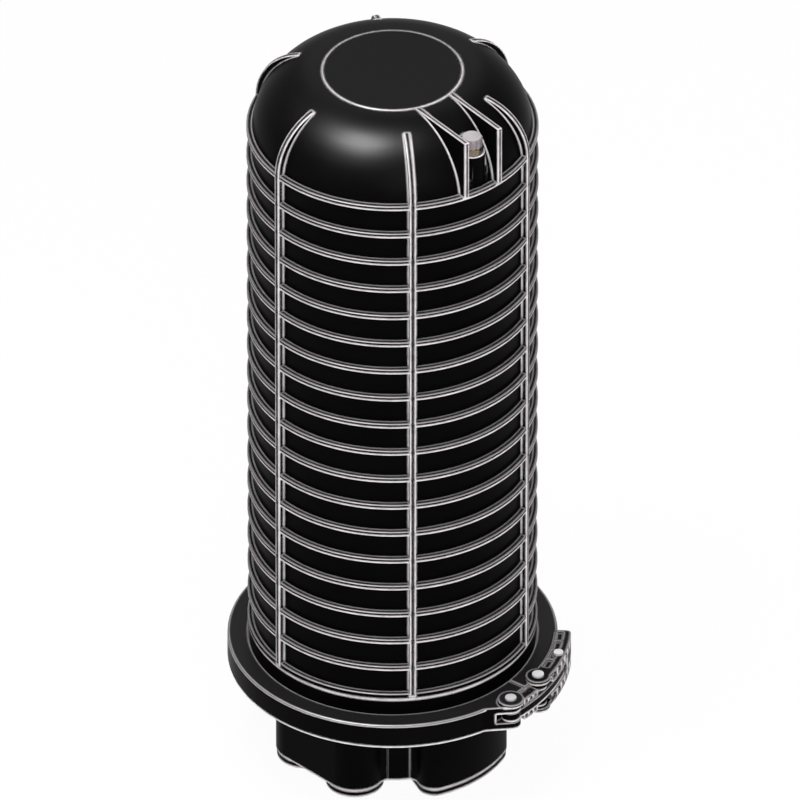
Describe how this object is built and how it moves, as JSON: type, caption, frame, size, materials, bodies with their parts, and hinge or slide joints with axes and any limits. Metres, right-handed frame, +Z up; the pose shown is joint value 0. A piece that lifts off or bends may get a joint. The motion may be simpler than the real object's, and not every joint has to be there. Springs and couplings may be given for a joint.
{
  "type": "dome splice closure",
  "caption": "Tall ribbed dome closure for fibre splices, clamped by a latched hoop to a base with round and oval cable ports.",
  "frame": {"origin": "on the closure's axis, in the plane that it stands on, at the centre boss's lower face", "axes": "+Z up along the dome's axis; +X towards the oval port and the latch's catch"},
  "size_m": [0.2023, 0.1916, 0.4665],
  "materials": {
    "base_plastic": "moulded satin black",
    "dome_plastic": "moulded satin black",
    "hoop_plastic": "moulded matt black, glass filled",
    "latch_plastic": "moulded matt black, glass filled",
    "seal_rubber": "matt",
    "plug_rubber": "matt",
    "pin_steel": "turned",
    "sheet_steel": "galvanised sheet",
    "screw_steel": "bright zinc",
    "valve_brass": "turned brass",
    "valve_nickel": "nickel plated",
    "valve_cap_brass": "pale knurled brass",
    "stud_brass": "turned brass",
    "tray_plastic": "pale grey moulded",
    "cover_plastic": "clear",
    "strap_webbing": "woven hook and loop"
  },
  "bodies": {
    "root": {"base": "base_plastic", "base_seal": "seal_rubber", "dome": "dome_plastic", "clamp_hoop": "hoop_plastic", "catch_pin": "pin_steel", "fulcrum_pin": "pin_steel", "valve_body": "valve_brass", "valve_washer": "seal_rubber", "valve_core": "valve_nickel", "port_plug_1": "plug_rubber", "port_plug_2": "plug_rubber", "port_plug_3": "plug_rubber", "port_plug_4": "plug_rubber", "tray_bracket": "sheet_steel", "bracket_screws": "screw_steel", "hinge_block": "tray_plastic", "splice_tray_1": "tray_plastic", "splice_tray_2": "tray_plastic", "splice_tray_3": "tray_plastic", "splice_tray_4": "tray_plastic", "tray_cover": "cover_plastic", "tray_strap": "strap_webbing", "slack_basket": "tray_plastic", "cable_anchor_1": "sheet_steel", "cable_anchor_2": "sheet_steel", "cable_anchor_3": "sheet_steel", "cable_anchor_4": "sheet_steel", "anchor_screws": "screw_steel", "earth_stud": "stud_brass", "earth_nuts": "stud_brass"},
    "lever": {"latch_lever": "latch_plastic", "link_pin": "pin_steel"},
    "link": {"latch_link": "latch_plastic"},
    "cap": {"valve_cap": "valve_cap_brass"}
  },
  "joints": [
    {"name": "latch_open", "type": "hinge", "parent": "root", "child": "lever", "pos_m": [0.09445, 0.0246, 0.0635], "axis": [0, 0, -1], "range_deg": [0, 140]},
    {"name": "link_swing", "type": "hinge", "parent": "lever", "child": "link", "pos_m": [0.08746, 0.04848, 0.0635], "axis": [0, 0, -1], "range_deg": [-126, 0]},
    {"name": "cap_lift", "type": "slide", "parent": "root", "child": "cap", "axis": [0, 0, 1], "range_m": [0, 0.012]}
  ],
  "couplings": [
    {"joint": "link_swing", "follows": "latch_open", "ratio": -0.9}
  ]
}
